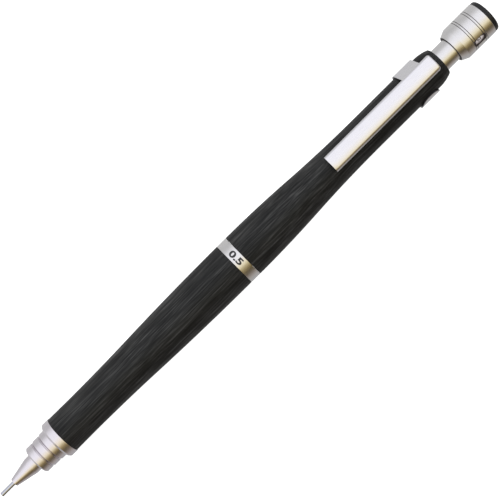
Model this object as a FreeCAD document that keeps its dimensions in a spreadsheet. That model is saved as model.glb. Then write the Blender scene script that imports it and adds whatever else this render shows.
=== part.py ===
import FreeCAD, Part
import math
import os

import Sketcher

# Mechanical pencil: wooden barrel in two halves, metal nose, joint ring, clip and cap.
# Millimetres. +X runs along the axis from the tip of the lead sleeve (the origin) to the
# cap, and +Z points to the clip. The pencil lies on its side, as on a desk.

# Driving dimensions. Each alias becomes a cell of the Sizes sheet; angles are in degrees.
SIZES = {
    # clearances
    "press_gap": 0.02,          # pressed and glued small parts
    "glue_gap": 0.05,           # wood on its liners, threads drawn plain
    "slide_gap": 0.10,          # parts that slide in a bore
    "free_gap": 0.20,           # parts that only pass through
    "lead_gap": 0.02,           # lead in its sleeve and jaws
    "hand_gap": 0.05,           # cap on its holder
    # lead
    "lead_radius": 0.28,
    "lead_length": 60.0,
    "lead_setback": 0.65,       # front of the lead behind the sleeve's rear end
    "lead_feed": 9.0,
    "spare_setback": 4.00,      # rear of the spare leads, in front of the tube's end
    # lead sleeve and nose cone
    "sleeve_wall": 0.2,
    "sleeve_reach": 3.8,       # length that stands out of the cone
    "sleeve_seat": 2.60,        # length held inside the cone
    "cone_tip_wall": 0.46,
    "cone_length": 5.03,
    "cone_radius": 2.02,
    "cone_neck": 1.6,          # plain length behind the cone
    "rib_radius": 3.38,         # front rib
    "rib_step": 0.11,           # each rib is this much larger than the one before
    "rib_width": 1.8,
    "rib_groove": 0.22,
    "rib_groove_depth": 0.38,
    "rib_chamfer": 0.22,
    "spigot_length": 6.00,
    "retainer_radius": 1.20,
    "retainer_length": 2.20,
    # feed mechanism
    "knock_travel": 3.00,
    "ring_travel": 1.00,
    "chamber_wall": 0.80,       # metal between the front rib's face and the chamber
    "jaw_room": 0.25,           # round the jaws, so that they can open
    "jaw_radius": 1.75,
    "jaw_land": 0.60,
    "jaw_taper": 3.20,
    "jaw_root_radius": 1.35,
    "jaw_slit": 0.25,
    "jaw_slit_length": 10.0,
    "shank_radius": 1.20,
    "chuck_seat": 6.00,         # length of the chuck held in the lead tube
    "ring_wall": 0.35,          # at the ring's wide end
    "ring_length": 3.00,
    "housing_room": 0.50,       # between the lead tube and the housing
    "housing_wall": 0.50,
    "housing_length": 16.0,
    "housing_front": 1.00,
    "spring_length": 6.60,
    "spring_wire": 0.18,        # radius of the wire
    "spring_turns": 7.0,
    "tube_radius": 2.00,
    "tube_wall": 0.50,
    "tube_end_step": 0.30,      # thicker end, over the tube
    "tube_end_length": 5.00,
    # front grip and its liner
    "collar_length": 2.14,
    "collar_radius": 4.60,
    "collar_chamfer": 0.40,
    "liner_wall": 0.45,
    "liner_land": 2.00,         # inner land that the housing seats on
    "liner_land_height": 0.40,
    "grip_length": 51.67,
    "grip_front_radius": 4.49,
    "waist_offset": 6.40,       # waist behind the grip's front end
    "waist_radius": 4.44,
    "front_turn_offset": 23.9,  # where the hollow curve turns into the swelling one
    "belly_radius": 5.32,
    # joint ring
    "joint_width": 2.6,
    "joint_front_spigot": 10.0,
    "joint_rear_spigot": 8.00,
    "joint_room": 0.30,         # round the lead tube
    # rear half
    "rear_length": 59.0,
    "rear_turn_offset": 17.7,
    "tail_length": 21.5,        # plain cylinder and shoulder, up to the rear end
    "tail_wall": 0.78,
    "shoulder_length": 3.40,
    "rim_wall": 0.08,           # wood left round the mouth of the rear end
    "rear_liner_wall": 0.35,
    "bush_length": 4.50,
    # clip
    "band_setback": 9.33,       # band's front edge before the barrel's rear end
    "band_width": 5.15,
    "band_wall": 0.43,
    "band_gap": 0.05,
    "band_end_angle": 62.0,     # end of the tongue, from the clip's side
    "wing_angle": 58.5,         # where the wing leaves the round, from the clip's side
    "wing_rise": 1.43,          # top of the wing over the barrel
    "leaf_length": 30.84,
    "leaf_reach": 23.06,         # free end in front of the band
    "leaf_width": 4.0,
    "leaf_wall": 0.45,
    "leaf_depth": 1.35,
    "leaf_bend": 0.6,
    "leaf_step": 0.75,          # top of the leaf over the wing
    "leaf_tilt": 1.00,          # the free end leans to the barrel
    "leaf_bevel": 0.60,
    "leaf_play": 0.15,          # room round the wing
    "bead_radius": 1.60,
    "bead_depth": 0.80,
    "bead_width": 2.40,
    "bead_offset": 2.60,        # middle of the bead behind the free end
    # eraser holder and eraser
    "holder_wall": 0.40,
    "holder_inside": 11.0,      # length inside the barrel
    "eraser_length": 10.5,
    "eraser_proud": 1.40,
    # cap
    "cap_rest_gap": 0.82,       # between the barrel and the cap when it is pressed
    "cap_lip_wall": 0.5,
    "cap_flare": 1.6,
    "cap_wall": 0.38,
    "cap_bore_start": 1.68,
    "groove_reach": 1.57,       # front groove before the window's middle
    "groove_width": 0.55,
    "groove_depth": 0.18,
    "groove_pitch": 2.88,
    "window_offset": 1.70,      # window's middle behind the dial's front edge
    "window_length": 3.25,      # along the axis; both ends are half round
    "window_width": 2.0,
    "window_angle": 54.0,       # from the clip's side towards -Y
    "cap_liner_length": 1.75,
    "cap_liner_lip": 0.25,
    "dial_room": 0.25,          # round the eraser holder
    "dial_wall": 0.60,
    "dial_length": 4.15,
    "stem_setback": 2.00,       # stem's end behind the dial's front edge
    "plug_bearing": 1.72,
    "plug_step": 0.06,          # dome smaller than the cap
    "plug_edge": 0.95,
    "plug_crown": 0.33,
    "split_width": 0.50,        # split ring along the axis
    "split_depth": 0.34,
    "split_angle": 320.0,
}


class Dim:
    """A size that carries both its value and the sheet expression that gives it."""

    def __init__(self, value, text):
        self.value = value
        self.text = text

    def __add__(self, other):
        other = as_dim(other)
        return Dim(self.value + other.value, "(%s + %s)" % (self.text, other.text))

    def __sub__(self, other):
        other = as_dim(other)
        return Dim(self.value - other.value, "(%s - %s)" % (self.text, other.text))

    def __mul__(self, other):
        other = as_dim(other)
        return Dim(self.value * other.value, "(%s * %s)" % (self.text, other.text))

    def __truediv__(self, other):
        other = as_dim(other)
        return Dim(self.value / other.value, "(%s / %s)" % (self.text, other.text))

    def __neg__(self):
        return Dim(-self.value, "(0 - %s)" % self.text)


def as_dim(size):
    return size if isinstance(size, Dim) else Dim(float(size), repr(float(size)))


def sine(angle):
    return Dim(math.sin(math.radians(angle.value)), "sin(%s)" % angle.text)


def cosine(angle):
    return Dim(math.cos(math.radians(angle.value)), "cos(%s)" % angle.text)


class Sheet:
    """Gives each driving dimension as a Dim, by its alias."""

    def __init__(self, doc):
        cells = doc.addObject("Spreadsheet::Sheet", "Sizes")
        for row, (alias, value) in enumerate(SIZES.items(), start=1):
            cells.set("A%d" % row, alias)
            cells.set("B%d" % row, repr(value))
            cells.setAlias("B%d" % row, alias)
            setattr(self, alias, Dim(value, "Sizes.%s" % alias))


doc = FreeCAD.newDocument("pencil")
size = Sheet(doc)
doc.recompute()
ZERO = as_dim(0)
parts = []


# Stations along the axis, each from the piece in front of it.
cone_start = size.sleeve_reach
sleeve_end = size.sleeve_reach + size.sleeve_seat
cone_end = cone_start + size.cone_length
ribs_start = cone_end + size.cone_neck
rib_pitch = size.rib_width + size.rib_groove
collar_start = ribs_start + rib_pitch * 2 + size.rib_width
grip_start = collar_start + size.collar_length
grip_end = grip_start + size.grip_length
joint_end = grip_end + size.joint_width
barrel_end = joint_end + size.rear_length
lead_start = sleeve_end + size.lead_setback
chamber_start = ribs_start + size.chamber_wall
jaws_start = chamber_start + size.knock_travel + size.slide_gap * 2
ring_start = jaws_start + size.jaw_land
ring_stop = ring_start - size.ring_travel - size.slide_gap
spigot_end = collar_start + size.spigot_length
housing_end = spigot_end + size.housing_length
spring_start = spigot_end + size.housing_front
tube_start = spring_start + size.spring_length
holder_start = barrel_end - size.holder_inside
tube_end = holder_start + size.tube_end_length
cap_start = barrel_end + size.knock_travel + size.cap_rest_gap
cap_liner_start = cap_start + size.cap_bore_start
cap_liner_end = cap_liner_start + size.cap_liner_length
holder_end = cap_liner_end - size.cap_liner_lip - size.hand_gap
eraser_end = holder_end + size.eraser_proud
dial_start = cap_liner_end + size.slide_gap
bearing_start = dial_start + size.dial_length + size.hand_gap
cap_end = bearing_start + size.plug_bearing
band_start = barrel_end - size.band_setback
band_end = band_start + size.band_width
leaf_pivot = band_start + size.band_width / 2

# Radii that follow from what runs in them, from the lead and the lead tube outwards.
sleeve_bore = size.lead_radius + size.lead_gap
sleeve_radius = sleeve_bore + size.sleeve_wall
sleeve_seat_bore = sleeve_radius + size.press_gap
ring_bore = size.jaw_radius + size.slide_gap
ring_radius = ring_bore + size.ring_wall
chamber_bore = ring_radius + size.slide_gap
tube_bore = size.tube_radius - size.tube_wall
spring_radius = size.tube_radius - size.tube_wall / 2
housing_bore = size.tube_radius + size.housing_room
housing_radius = housing_bore + size.housing_wall
spigot_radius = housing_radius + size.glue_gap
liner_bore = spigot_radius + size.glue_gap
liner_radius = liner_bore + size.liner_wall
tube_end_radius = size.tube_radius + size.tube_end_step
holder_bore = tube_end_radius + size.glue_gap
holder_radius = holder_bore + size.holder_wall
rear_liner_bore = holder_radius + size.free_gap
rear_liner_radius = rear_liner_bore + size.rear_liner_wall
rear_wood_bore = rear_liner_radius + size.glue_gap
tail_radius = rear_wood_bore + size.tail_wall
wing_top = tail_radius + size.wing_rise
leaf_top = wing_top + size.leaf_step
cap_lip_bore = holder_radius + size.slide_gap
dial_bore = holder_radius + size.dial_room
dial_radius = dial_bore + size.dial_wall
cap_bore = dial_radius + size.slide_gap
cap_radius = cap_bore + size.cap_wall
split_bore = cap_bore - size.hand_gap - size.split_depth


def add_side(sketch, first, last, centre_x):
    """Add one side; return its number and its vertices at first and last."""
    if centre_x is None:
        side = sketch.addGeometry(Part.LineSegment(first, last), False)
        return side, 1, 2
    x = centre_x.value
    square = (last.x**2 + last.y**2 - first.x**2 - first.y**2) / 2
    y = (square - x * (last.x - first.x)) / (last.y - first.y)
    centre = FreeCAD.Vector(x, y, 0)
    circle = Part.Circle(centre, FreeCAD.Vector(0, 0, 1), centre.distanceToPoint(first))
    leftward = (first - centre).cross(last - centre).z > 0
    start, end = (first, last) if leftward else (last, first)
    angles = [math.atan2(point.y - y, point.x - x) for point in (start, end)]
    side = sketch.addGeometry(Part.ArcOfCircle(circle, angles[0], angles[1]), False)
    return (side, 1, 2) if leftward else (side, 2, 1)


def hold(sketch, kind, side, vertex, distance):
    """Bind one coordinate of a vertex, or put it on the axis where it is nothing."""
    if distance.value == 0:
        axis = -2 if kind == "DistanceX" else -1
        sketch.addConstraint(Sketcher.Constraint("PointOnObject", side, vertex, axis))
        return
    ends = (-1, 1, side, vertex) if distance.value > 0 else (side, vertex, -1, 1)
    bound = distance if distance.value > 0 else -distance
    number = sketch.addConstraint(Sketcher.Constraint(kind, *ends, bound.value))
    sketch.setExpression("Constraints[%d]" % number, bound.text)


def draw(body, name, plane, points, arcs=None):
    """Sketch a closed outline on one of the body's planes.

    points are pairs of Dim; arcs gives, for a side's number, the first coordinate of the
    centre that the side bends round.
    """
    sketch = body.newObject("Sketcher::SketchObject", name)
    support = [item for item in body.Origin.OriginFeatures if item.Role == plane][0]
    sketch.AttachmentSupport = [(support, "")]
    sketch.MapMode = "FlatFace"
    corners = [FreeCAD.Vector(x.value, y.value, 0) for x, y in points]
    sides = []
    for number, corner in enumerate(corners):
        following = corners[(number + 1) % len(corners)]
        centre_x = (arcs or {}).get(number)
        sides.append(add_side(sketch, corner, following, centre_x))
        if centre_x is not None:
            hold(sketch, "DistanceX", sides[-1][0], 3, centre_x)
    for number, (x, y) in enumerate(points):
        before = sides[number - 1]
        side, start, end = sides[number]
        sketch.addConstraint(Sketcher.Constraint("Coincident", before[0], before[2], side, start))
        hold(sketch, "DistanceX", side, start, x)
        hold(sketch, "DistanceY", side, start, y)
    return sketch


def new_body(label):
    body = doc.addObject("PartDesign::Body", label)
    parts.append(body)
    return body


def turned(label, points, arcs=None, angle=None):
    """A piece turned about the pencil's axis from an outline of (station, radius)."""
    body = new_body(label)
    outline = draw(body, label + "_outline", "XZ_Plane", points, arcs)
    solid = body.newObject("PartDesign::Revolution", label + "_turned")
    solid.Profile = outline
    solid.ReferenceAxis = (outline, ["H_Axis"])
    solid.Angle = 360
    if angle is not None:
        solid.setExpression("Angle", angle.text)
    outline.Visibility = False
    doc.recompute()
    return body


def tube(label, start, end, outer, inner):
    return turned(label, [(start, inner), (start, outer), (end, outer), (end, inner)])


def cut(body, sketch, length, reverse=False, midplane=False):
    """Cut a sketch out of the body, and make sure that it took something away."""
    before = body.Shape.Volume
    pocket = body.newObject("PartDesign::Pocket", sketch.Name + "_cut")
    pocket.Profile = sketch
    pocket.Reversed = reverse
    pocket.Midplane = midplane
    pocket.setExpression("Length", length.text)
    doc.recompute()
    if not body.Shape.Volume < before:
        raise RuntimeError("%s cuts nothing" % pocket.Name)
    return pocket


def rectangle(x_low, x_high, y_low, y_high):
    return [(x_low, y_low), (x_high, y_low), (x_high, y_high), (x_low, y_high)]


# ---------------------------------------------------------------- nose


def lead_sleeve():
    """Steel tube pressed into the cone; the lead comes out of it."""
    tube("lead_sleeve", ZERO, sleeve_end, sleeve_radius, sleeve_bore)


def nose_cone():
    """Cone, three stepped ribs and a spigot that screws into the grip's liner."""
    points = [
        (cone_start, sleeve_seat_bore),
        (cone_start, sleeve_seat_bore + size.cone_tip_wall),
        (cone_end, size.cone_radius),
        (ribs_start, size.cone_radius),
    ]
    for rib in range(3):
        start = ribs_start + rib_pitch * rib
        radius = size.rib_radius + size.rib_step * rib
        end = start + size.rib_width
        points += [
            (start, radius - size.rib_chamfer),
            (start + size.rib_chamfer, radius),
            (end, radius),
        ]
        if rib < 2:
            floor = radius - size.rib_groove_depth
            points += [(end, floor), (end + size.rib_groove, floor)]
    retainer_seat = size.retainer_radius + size.press_gap
    points += [
        (collar_start, spigot_radius),
        (spigot_end, spigot_radius),
        (spigot_end, chamber_bore),
        (ring_stop, chamber_bore),
        (ring_stop, size.jaw_radius + size.jaw_room),
        (chamber_start, size.jaw_radius + size.jaw_room),
        (chamber_start, retainer_seat),
        (lead_start, retainer_seat),
        (lead_start, sleeve_seat_bore),
    ]
    turned("nose_cone", points)


def lead_retainer():
    """Rubber ring in the cone that keeps the lead from falling back."""
    end = lead_start + size.retainer_length
    tube("lead_retainer", lead_start, end, size.retainer_radius, sleeve_bore)


# ---------------------------------------------------------------- feed mechanism


def chuck():
    """Brass collet: three jaws with a taper, a shank, and a seat in the lead tube."""
    taper_end = ring_start + size.jaw_taper
    seat_end = tube_start + size.chuck_seat
    seat = tube_bore - size.glue_gap
    body = turned("chuck", [
        (jaws_start, sleeve_bore),
        (jaws_start, size.jaw_radius),
        (ring_start, size.jaw_radius),
        (taper_end, size.jaw_root_radius),
        (taper_end, size.shank_radius),
        (tube_start, size.shank_radius),
        (tube_start, seat),
        (seat_end, seat),
        (seat_end, sleeve_bore),
    ])
    half = size.jaw_slit / 2
    slit_start = jaws_start - size.jaw_land
    slit_end = jaws_start + size.jaw_slit_length
    slit = draw(body, "jaw_slit_outline", "XY_Plane", rectangle(slit_start, slit_end, -half, half))
    first = cut(body, slit, size.jaw_radius * 2, reverse=True)
    slits = body.newObject("PartDesign::PolarPattern", "jaw_slits")
    slits.Originals = [first]
    slits.Axis = (slit, ["H_Axis"])
    slits.Angle = 360
    slits.Occurrences = 3
    body.Tip = slits
    slit.Visibility = False
    doc.recompute()


def chuck_ring():
    """Brass ring whose tapered bore closes the jaws."""
    end = ring_start + size.ring_length
    slope = (size.jaw_radius - size.jaw_root_radius) / size.jaw_taper
    turned("chuck_ring", [
        (ring_start, ring_bore),
        (ring_start, ring_radius),
        (end, ring_radius),
        (end, ring_bore - slope * size.ring_length),
    ])


def mechanism_housing():
    """Sleeve behind the nose; its front wall carries the spring."""
    shank_bore = size.shank_radius + size.slide_gap
    turned("mechanism_housing", [
        (spigot_end, shank_bore),
        (spigot_end, housing_radius),
        (housing_end, housing_radius),
        (housing_end, housing_bore),
        (spring_start, housing_bore),
        (spring_start, shank_bore),
    ])


def return_spring():
    """Coil spring between the housing's front wall and the lead tube."""
    body = new_body("return_spring")
    wire = body.newObject("Sketcher::SketchObject", "spring_wire_outline")
    support = [item for item in body.Origin.OriginFeatures if item.Role == "XZ_Plane"][0]
    wire.AttachmentSupport = [(support, "")]
    wire.MapMode = "FlatFace"
    middle = spring_start + size.spring_wire + size.press_gap
    centre = FreeCAD.Vector(middle.value, spring_radius.value, 0)
    circle = Part.Circle(centre, FreeCAD.Vector(0, 0, 1), size.spring_wire.value)
    wire.addGeometry(circle, False)
    hold(wire, "DistanceX", 0, 3, middle)
    hold(wire, "DistanceY", 0, 3, spring_radius)
    number = wire.addConstraint(Sketcher.Constraint("Radius", 0, size.spring_wire.value))
    wire.setExpression("Constraints[%d]" % number, size.spring_wire.text)
    doc.recompute()
    travel = size.spring_length - (size.spring_wire + size.press_gap) * 2
    coil = body.newObject("PartDesign::AdditiveHelix", "spring_coil")
    coil.Profile = wire
    coil.ReferenceAxis = (wire, ["H_Axis"])
    coil.Mode = "height-turns-angle"
    coil.setExpression("Height", travel.text)
    coil.setExpression("Turns", size.spring_turns.text)
    wire.Visibility = False
    doc.recompute()


def lead_tube():
    """Lead reservoir, with a thicker end that is held in the eraser holder."""
    turned("lead_tube", [
        (tube_start, tube_bore),
        (tube_start, size.tube_radius),
        (holder_start, size.tube_radius),
        (holder_start, tube_end_radius),
        (tube_end, tube_end_radius),
        (tube_end, tube_bore),
    ])


def lead():
    """The lead in use, on the axis."""
    end = lead_start + size.lead_length
    turned("lead", rectangle(lead_start, end, ZERO, size.lead_radius))


def spare_leads():
    """Three leads that lie at the bottom of the tube."""
    offset = tube_bore - size.lead_radius - size.glue_gap
    start = tube_end - size.spare_setback - size.lead_length
    leads = []
    for number, angle in enumerate((-120, -90, -60)):
        rod = doc.addObject("Part::Cylinder", "spare_lead_%d" % (number + 1))
        rod.setExpression("Radius", size.lead_radius.text)
        rod.setExpression("Height", size.lead_length.text)
        rod.Placement.Rotation = FreeCAD.Rotation(FreeCAD.Vector(0, 1, 0), 90)
        direction = as_dim(angle)
        rod.setExpression("Placement.Base.x", start.text)
        rod.setExpression("Placement.Base.y", (offset * cosine(direction)).text)
        rod.setExpression("Placement.Base.z", (offset * sine(direction)).text)
        leads.append(rod)
    group = doc.addObject("Part::Compound", "spare_leads")
    group.Links = leads
    parts.append(group)
    doc.recompute()


# ---------------------------------------------------------------- front grip


def grip_liner():
    """Metal collar and tube in one; the nose, housing and joint ring seat in it."""
    land_end = housing_end + size.liner_land
    turned("grip_liner", [
        (collar_start, liner_bore),
        (collar_start, size.collar_radius - size.collar_chamfer),
        (collar_start + size.collar_chamfer, size.collar_radius),
        (grip_start, size.collar_radius),
        (grip_start, liner_radius),
        (grip_end, liner_radius),
        (grip_end, liner_bore),
        (land_end, liner_bore),
        (land_end, liner_bore - size.liner_land_height),
        (housing_end, liner_bore - size.liner_land_height),
        (housing_end, liner_bore),
    ])


def reverse_curve(start, start_radius, end, end_radius, turn):
    """Where two tangent arcs meet between two places whose sides run along the axis."""
    share = (turn - start) / (end - start)
    return (turn, start_radius + (end_radius - start_radius) * share)


def front_grip():
    """Turned wood, hollow-waisted near the tip and fullest at the joint ring."""
    bore = liner_radius + size.glue_gap
    waist = grip_start + size.waist_offset
    turn = grip_start + size.front_turn_offset
    turned("front_grip", [
        (grip_start, bore),
        (grip_start, size.grip_front_radius),
        (waist, size.waist_radius),
        reverse_curve(waist, size.waist_radius, grip_end, size.belly_radius, turn),
        (grip_end, size.belly_radius),
        (grip_end, bore),
    ], arcs={1: waist, 2: waist, 3: grip_end})


def centre_ring():
    """Joint ring; its front spigot screws into one liner and its rear one into the other."""
    front = grip_end - size.joint_front_spigot
    rear = joint_end + size.joint_rear_spigot
    rear_spigot_radius = rear_liner_bore - size.glue_gap
    bore = size.tube_radius + size.joint_room
    turned("centre_ring", [
        (front, bore),
        (front, spigot_radius),
        (grip_end, spigot_radius),
        (grip_end, size.belly_radius),
        (joint_end, size.belly_radius),
        (joint_end, rear_spigot_radius),
        (rear, rear_spigot_radius),
        (rear, bore),
    ])


# ---------------------------------------------------------------- rear half


def rear_liner():
    """Metal tube glued in the rear wood."""
    end = barrel_end - size.bush_length
    tube("rear_liner", joint_end, end, rear_liner_radius, rear_liner_bore)


def rear_barrel():
    """Turned wood that narrows to a cylinder and has a rounded rear end."""
    turn = joint_end + size.rear_turn_offset
    tail = barrel_end - size.tail_length
    shoulder = barrel_end - size.shoulder_length
    turned("rear_barrel", [
        (joint_end, rear_wood_bore),
        (joint_end, size.belly_radius),
        reverse_curve(joint_end, size.belly_radius, tail, tail_radius, turn),
        (tail, tail_radius),
        (shoulder, tail_radius),
        (barrel_end, rear_wood_bore + size.rim_wall),
        (barrel_end, rear_wood_bore),
    ], arcs={1: joint_end, 2: tail, 4: shoulder})


def rear_bush():
    """Guide for the eraser holder, in the rear mouth of the barrel."""
    bore = holder_radius + size.slide_gap
    tube("rear_bush", barrel_end - size.bush_length, barrel_end, rear_liner_radius, bore)


# ---------------------------------------------------------------- clip


def clip_band():
    """Strip that leaves the leaf's side, goes round the back and ends in a tongue."""
    inner = tail_radius + size.band_gap
    outer = inner + size.band_wall
    lean = size.wing_angle
    rise = (wing_top - outer * cosine(lean)) / sine(lean)
    top = (outer * sine(lean) - rise * cosine(lean), wing_top)
    under = (top[0] - size.band_wall * sine(lean), top[1] - size.band_wall * cosine(lean))
    stop = size.band_end_angle
    body = new_body("clip_band")
    outline = draw(body, "band_outline", "YZ_Plane", [
        top,
        (outer * sine(lean), outer * cosine(lean)),
        (ZERO, -outer),
        (-(outer * sine(stop)), outer * cosine(stop)),
        (-(inner * sine(stop)), inner * cosine(stop)),
        (ZERO, -inner),
        (inner * sine(lean), inner * cosine(lean)),
        under,
    ], arcs={1: ZERO, 2: ZERO, 4: ZERO, 5: ZERO})
    outline.setExpression("AttachmentOffset.Base.z", band_start.text)
    strip = body.newObject("PartDesign::Pad", "band_strip")
    strip.Profile = outline
    strip.setExpression("Length", size.band_width.text)
    outline.Visibility = False
    doc.recompute()


def clip_leaf():
    """Folded channel with a closed rear end and a bead near its free end.

    Drawn about the middle of the band, where the sheet flexes, and then leaned.
    """
    body = new_body("clip_leaf")
    top = leaf_top - wing_top
    bottom = top - size.leaf_depth
    half = size.leaf_width / 2
    inside = half - size.leaf_wall
    bend = size.leaf_bend
    front = band_start - size.leaf_reach - leaf_pivot
    rear = front + size.leaf_length
    section = draw(body, "leaf_section", "YZ_Plane", [
        (-half, bottom),
        (half, bottom),
        (half, top - bend),
        (half - bend, top),
        (bend - half, top),
        (-half, top - bend),
    ], arcs={2: half - bend, 4: bend - half})
    section.setExpression("AttachmentOffset.Base.z", front.text)
    bar = body.newObject("PartDesign::Pad", "leaf_bar")
    bar.Profile = section
    bar.setExpression("Length", size.leaf_length.text)
    doc.recompute()
    roof = top - size.leaf_wall
    floor = bottom - size.leaf_wall
    channel = draw(body, "leaf_channel", "XZ_Plane",
                   rectangle(front - size.leaf_wall, rear - size.leaf_wall, floor, roof))
    cut(body, channel, inside * 2, midplane=True)
    play = size.leaf_play
    half_band = size.band_width / 2 + play
    notch = draw(body, "wing_notch", "XZ_Plane", rectangle(-half_band, half_band, floor, play))
    cut(body, notch, size.leaf_width)
    bevel = draw(body, "leaf_bevel_outline", "XZ_Plane", [
        (rear - size.leaf_bevel, top),
        (rear + size.leaf_wall, top),
        (rear + size.leaf_wall, top - size.leaf_bevel),
        (rear, top - size.leaf_bevel),
    ], arcs={3: rear - size.leaf_bevel})
    cut(body, bevel, size.leaf_width * 2, midplane=True)
    middle = front + size.bead_offset
    spread = size.bead_radius * 0.9
    bead = draw(body, "bead_outline", "XZ_Plane", [
        (middle - spread, roof + size.leaf_wall / 2),
        (middle - spread, roof),
        (middle, roof - size.bead_depth),
        (middle + spread, roof),
        (middle + spread, roof + size.leaf_wall / 2),
    ], arcs={1: middle, 2: middle})
    ridge = body.newObject("PartDesign::Pad", "leaf_bead")
    ridge.Profile = bead
    ridge.Midplane = True
    ridge.setExpression("Length", size.bead_width.text)
    body.Placement = FreeCAD.Placement(FreeCAD.Vector(leaf_pivot.value, 0, wing_top.value),
                                       FreeCAD.Rotation(FreeCAD.Vector(0, -1, 0), 1))
    body.setExpression("Placement.Base.x", leaf_pivot.text)
    body.setExpression("Placement.Base.z", wing_top.text)
    body.setExpression("Placement.Rotation.Angle", size.leaf_tilt.text)
    doc.recompute()


# ---------------------------------------------------------------- eraser and cap


def eraser_holder():
    """Metal tube on the end of the lead tube; it stands out of the barrel."""
    tube("eraser_holder", holder_start, holder_end, holder_radius, holder_bore)


def eraser():
    """Rubber rod in the holder, under the cap."""
    radius = holder_bore - size.glue_gap
    turned("eraser", rectangle(eraser_end - size.eraser_length, eraser_end, ZERO, radius))


def cap_shell():
    """Cap with a flared lip, two fine grooves and an oblong window over the dial."""
    middle = dial_start + size.window_offset
    points = [
        (cap_start, cap_lip_bore),
        (cap_start, cap_lip_bore + size.cap_lip_wall),
        (cap_start + size.cap_flare, cap_radius),
    ]
    for number in range(2):
        start = middle - size.groove_reach + size.groove_pitch * number
        end = start + size.groove_width
        floor = cap_radius - size.groove_depth
        points += [(start, cap_radius), (start, floor), (end, floor), (end, cap_radius)]
    points += [
        (cap_end, cap_radius),
        (cap_end, cap_bore),
        (cap_liner_start, cap_bore),
        (cap_liner_start, cap_lip_bore),
    ]
    body = turned("cap_shell", points)
    half = size.window_width / 2
    reach = size.window_length / 2 - half
    window = draw(body, "window_outline", "XY_Plane", [
        (middle - reach, half),
        (middle + reach, half),
        (middle + reach, -half),
        (middle - reach, -half),
    ], arcs={1: middle + reach, 3: middle - reach})
    cut(body, window, cap_radius * 2, reverse=True)
    body.Placement.Rotation = FreeCAD.Rotation(FreeCAD.Vector(1, 0, 0), 1)
    body.setExpression("Placement.Rotation.Angle", size.window_angle.text)
    doc.recompute()


def cap_liner():
    """Ring in the cap that grips the eraser holder; its inner lip is the stop."""
    outer = cap_bore - size.glue_gap
    bore = holder_radius + size.hand_gap
    lip = holder_bore + size.slide_gap
    lip_start = cap_liner_end - size.cap_liner_lip
    turned("cap_liner", [
        (cap_liner_start, bore),
        (cap_liner_start, outer),
        (cap_liner_end, outer),
        (cap_liner_end, lip),
        (lip_start, lip),
        (lip_start, bore),
    ])


def grade_dial():
    """Drum on the plug's stem that shows through the window."""
    tube("grade_dial", dial_start, dial_start + size.dial_length, dial_radius, dial_bore)


def cap_plug():
    """Domed knob with a bearing in the cap, a groove for the ring and the dial's stem."""
    stem = dial_bore - size.press_gap
    bearing = cap_bore - size.slide_gap
    stem_start = dial_start + size.stem_setback
    dome = cap_radius - size.plug_step
    groove_middle = bearing_start + size.plug_bearing / 2
    half = size.split_width / 2 + size.press_gap
    floor = split_bore - size.press_gap
    dome_start = cap_end + size.hand_gap
    edge = dome_start + size.plug_edge
    turned("cap_plug", [
        (stem_start, ZERO),
        (stem_start, stem),
        (bearing_start, stem),
        (bearing_start, bearing),
        (groove_middle - half, bearing),
        (groove_middle - half, floor),
        (groove_middle + half, floor),
        (groove_middle + half, bearing),
        (dome_start, bearing),
        (dome_start, dome),
        (edge, dome),
        (edge + size.plug_crown, ZERO),
    ], arcs={10: edge + size.plug_crown - dome_radius(dome, size.plug_crown)})


def dome_radius(edge, height):
    """Radius of a sphere whose cap has this edge radius and height."""
    return (edge * edge + height * height) / (height * 2)


def retaining_ring():
    """Split ring in the plug's groove."""
    middle = bearing_start + size.plug_bearing / 2
    half = size.split_width / 2
    outer = cap_bore - size.hand_gap
    points = rectangle(middle - half, middle + half, split_bore, outer)
    turned("retaining_ring", points, angle=size.split_angle)


def check_model():
    """Stop if any object failed, or a piece is empty or not a sound solid."""
    for item in doc.Objects:
        if "Invalid" in item.State or "Error" in item.State:
            raise RuntimeError("%s failed: %s" % (item.Name, item.State))
    for piece in parts:
        if piece.Shape.isNull() or not piece.Shape.isValid() or not piece.Shape.Solids:
            raise RuntimeError("%s has no sound shape" % piece.Label)


def write_parts():
    os.makedirs("parts", exist_ok=True)
    for piece in parts:
        piece.Shape.exportStep("parts/%s.step" % piece.Label)


for make in (
    lead_sleeve, nose_cone, lead_retainer,
    chuck, chuck_ring, mechanism_housing, return_spring, lead_tube, lead, spare_leads,
    grip_liner, front_grip, centre_ring,
    rear_liner, rear_barrel, rear_bush,
    clip_band, clip_leaf,
    eraser_holder, eraser, cap_shell, cap_liner, grade_dial, cap_plug, retaining_ring,
):
    make()

check_model()
write_parts()
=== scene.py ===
import math

import bmesh
import bpy
import numpy as np
from mathutils import Matrix, Vector


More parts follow.
